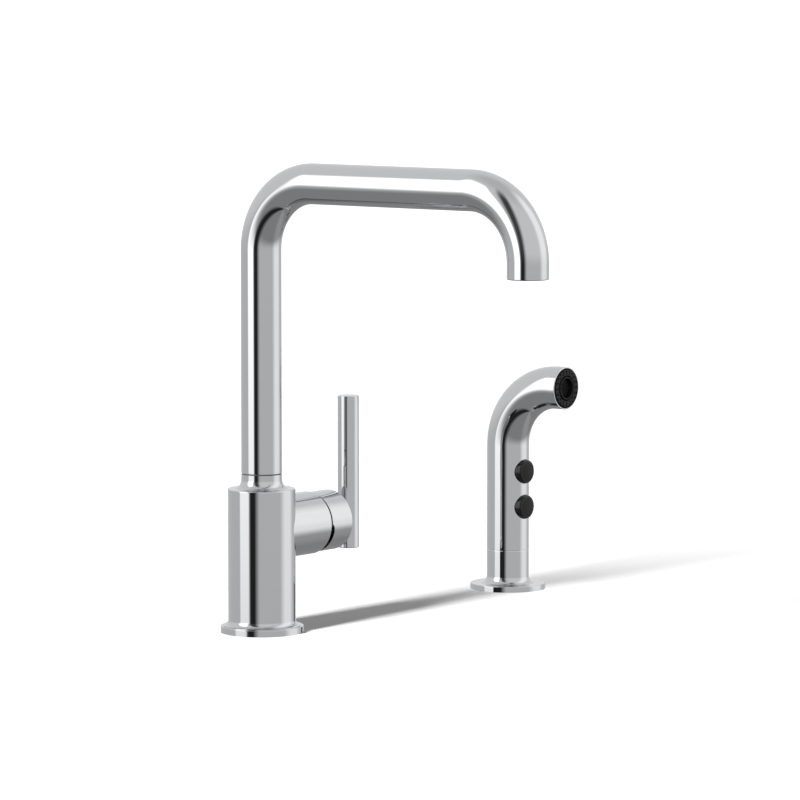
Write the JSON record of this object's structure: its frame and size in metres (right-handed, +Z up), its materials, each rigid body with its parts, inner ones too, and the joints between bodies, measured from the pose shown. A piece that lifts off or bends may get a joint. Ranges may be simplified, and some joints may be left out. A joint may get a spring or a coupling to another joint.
{
  "type": "side spray kitchen faucet",
  "caption": "Deck-mounted kitchen faucet with a squared swivel spout and a side stick lever, and beside it a pull-up spray with push buttons in its own deck holder.",
  "frame": {"origin": "on the deck, on the axis of the faucet body", "axes": "+Z up along the body's axis, -Y along the spout towards the outlet, +X towards the lever and the spray"},
  "size_m": [0.3257, 0.2611, 0.369],
  "materials": {
    "chrome_plate": "polished chrome plate on brass",
    "aerator_chrome": "satin chrome plate on brass",
    "nozzle_black": "satin moulded plastic",
    "stream_black": "satin moulded plastic",
    "button_black": "soft satin rubber over a plastic core",
    "screen_grey": "moulded plastic",
    "brass": "turned brass",
    "steel": "turned and ground stainless steel",
    "rubber": "moulded rubber",
    "bearing_plastic": "moulded acetal",
    "valve_plastic": "moulded plastic",
    "ceramic": "lapped alumina"
  },
  "bodies": {
    "faucet": {"faucet_body": "chrome_plate", "base_flange": "chrome_plate", "base_gasket": "rubber", "mounting_shank": "brass", "deck_washer_rubber": "rubber", "deck_washer_steel": "steel", "mounting_nut": "brass", "spout_retaining_clip": "steel", "diverter_body": "valve_plastic", "cartridge_base": "valve_plastic", "port_seals": "rubber", "cartridge_housing": "valve_plastic", "fixed_disc": "ceramic", "bonnet_nut": "brass", "spray_holder": "chrome_plate", "holder_gasket": "rubber", "holder_shank": "brass", "holder_washer_rubber": "rubber", "holder_washer_steel": "steel", "holder_nut": "brass"},
    "spout": {"spout_tube": "chrome_plate", "spout_spigot": "brass", "spout_o_rings": "rubber", "spout_glide_ring": "bearing_plastic", "aerator_housing": "aerator_chrome", "aerator_insert": "screen_grey", "aerator_washer": "rubber"},
    "diverter": {"diverter_plunger": "valve_plastic"},
    "valve_carrier": {"cartridge_carrier": "valve_plastic", "lever_pin": "steel", "temperature_stop": "valve_plastic"},
    "handle": {"cartridge_stem": "steel", "handle_cap": "chrome_plate", "handle_set_screw": "steel", "handle_neck": "chrome_plate", "handle_stick": "chrome_plate", "handle_screw": "steel"},
    "valve_disc": {"moving_disc": "ceramic", "disc_holder": "valve_plastic"},
    "holder_bush": {"spray_bush": "bearing_plastic"},
    "spray": {"spray_shell": "chrome_plate", "spray_tail": "brass", "tail_o_ring": "rubber", "valve_block": "valve_plastic", "waterway": "valve_plastic", "spray_face": "nozzle_black", "stream_ring": "stream_black", "stream_insert": "screen_grey"},
    "upper_push": {"upper_button": "button_black", "upper_spring": "steel"},
    "lower_push": {"lower_button": "button_black", "lower_spring": "steel"}
  },
  "joints": [
    {"name": "spout_swivel", "type": "hinge", "parent": "faucet", "child": "spout", "pos_m": [0, 0, 0.1056], "axis": [0, 0, 1], "continuous": true},
    {"name": "diverter_lift", "type": "slide", "parent": "faucet", "child": "diverter", "axis": [0, 0, 1], "range_m": [0, 0.0025]},
    {"name": "handle_temperature", "type": "hinge", "parent": "faucet", "child": "valve_carrier", "pos_m": [0.032, 0, 0.0684], "axis": [1, 0, 0], "range_deg": [-45, 45]},
    {"name": "handle_flow", "type": "hinge", "parent": "valve_carrier", "child": "handle", "pos_m": [0.032, 0, 0.0684], "axis": [0, 1, 0], "range_deg": [0, 10]},
    {"name": "disc_slide", "type": "slide", "parent": "valve_carrier", "child": "valve_disc", "axis": [0, 0, 1], "range_m": [0, 0.00085]},
    {"name": "spray_turn", "type": "hinge", "parent": "faucet", "child": "holder_bush", "pos_m": [0.2714, 0, 0.0277], "axis": [0, 0, 1], "continuous": true},
    {"name": "spray_lift", "type": "slide", "parent": "holder_bush", "child": "spray", "axis": [0, 0, 1], "range_m": [0, 0.06]},
    {"name": "upper_button_press", "type": "slide", "parent": "spray", "child": "upper_push", "axis": [0, 1, 0], "range_m": [0, 0.0022], "stiffness_N_per_m": 1500, "springref_m": -0.002},
    {"name": "lower_button_press", "type": "slide", "parent": "spray", "child": "lower_push", "axis": [0, 1, 0], "range_m": [0, 0.0022], "stiffness_N_per_m": 1500, "springref_m": -0.002}
  ],
  "couplings": [
    {"joint": "disc_slide", "follows": "handle_flow", "m_per_rad": 0.0048}
  ]
}
